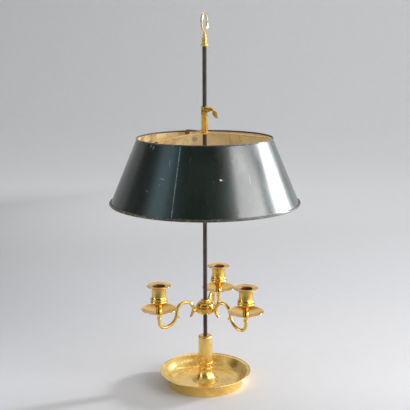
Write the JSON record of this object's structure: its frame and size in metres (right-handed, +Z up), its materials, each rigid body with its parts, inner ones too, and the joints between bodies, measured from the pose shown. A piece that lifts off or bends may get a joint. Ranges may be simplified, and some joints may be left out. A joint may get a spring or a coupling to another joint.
{
  "type": "bouillotte lamp",
  "caption": "Candle table lamp: gilt dish base, square rod with ring finial, sliding branch of scrolled candle arms, and a conical painted metal shade clamped at any height by a key",
  "frame": {"origin": "on the lamp's axis, at the bottom of the foot ring", "axes": "+Z up along the rod; the front, as a sitter sees it, faces -Y; +X is to the sitter's right"},
  "size_m": [0.3446, 0.3446, 0.6818],
  "materials": {
    "gilt_bronze": "polished",
    "brass": "satin",
    "dark_iron": "satin",
    "steel": "satin",
    "green_paint": "gloss"
  },
  "bodies": {
    "stand": {"base_dish": "gilt_bronze", "base_column": "gilt_bronze", "base_washer": "steel", "base_nut": "steel", "stem": "dark_iron", "finial_base": "gilt_bronze", "finial_ring": "gilt_bronze"},
    "branch": {"arms_hub": "gilt_bronze", "hub_screw": "steel", "arm_left": "gilt_bronze", "drip_pan_left": "gilt_bronze", "candle_socket_left": "gilt_bronze", "arm_right": "gilt_bronze", "drip_pan_right": "gilt_bronze", "candle_socket_right": "gilt_bronze", "arm_back": "gilt_bronze", "drip_pan_back": "gilt_bronze", "candle_socket_back": "gilt_bronze"},
    "nozzle_left": {"nozzle_left": "gilt_bronze"},
    "nozzle_right": {"nozzle_right": "gilt_bronze"},
    "nozzle_back": {"nozzle_back": "gilt_bronze"},
    "shade": {"shade_sleeve": "brass", "shade_spider": "brass", "shade_rivets": "brass", "shade_panel_left": "green_paint", "shade_panel_right": "green_paint", "shade_top_wire": "steel", "shade_bottom_wire": "steel"},
    "shade_screw": {"shade_screw": "brass"},
    "shade_key": {"shade_key": "brass"}
  },
  "joints": [
    {"name": "shade_height", "type": "slide", "parent": "stand", "child": "shade", "axis": [0, 0, 1], "range_m": [-0.15, 0.1]},
    {"name": "branch_height", "type": "slide", "parent": "stand", "child": "branch", "axis": [0, 0, 1], "range_m": [-0.04, 0.06]},
    {"name": "shade_screw_travel", "type": "slide", "parent": "shade", "child": "shade_screw", "axis": [0.9397, -0.342, 0], "range_m": [0, 0.0007]},
    {"name": "shade_key_turn", "type": "hinge", "parent": "shade_screw", "child": "shade_key", "pos_m": [0, 0, 0.5131], "axis": [0.9397, -0.342, 0], "range_deg": [0, 360]},
    {"name": "nozzle_left_lift", "type": "slide", "parent": "branch", "child": "nozzle_left", "axis": [0, 0, 1], "range_m": [0, 0.03]},
    {"name": "nozzle_right_lift", "type": "slide", "parent": "branch", "child": "nozzle_right", "axis": [0, 0, 1], "range_m": [0, 0.03]},
    {"name": "nozzle_back_lift", "type": "slide", "parent": "branch", "child": "nozzle_back", "axis": [0, 0, 1], "range_m": [0, 0.03]}
  ],
  "couplings": [
    {"joint": "shade_screw_travel", "follows": "shade_key_turn", "m_per_rad": 0.00011141}
  ]
}
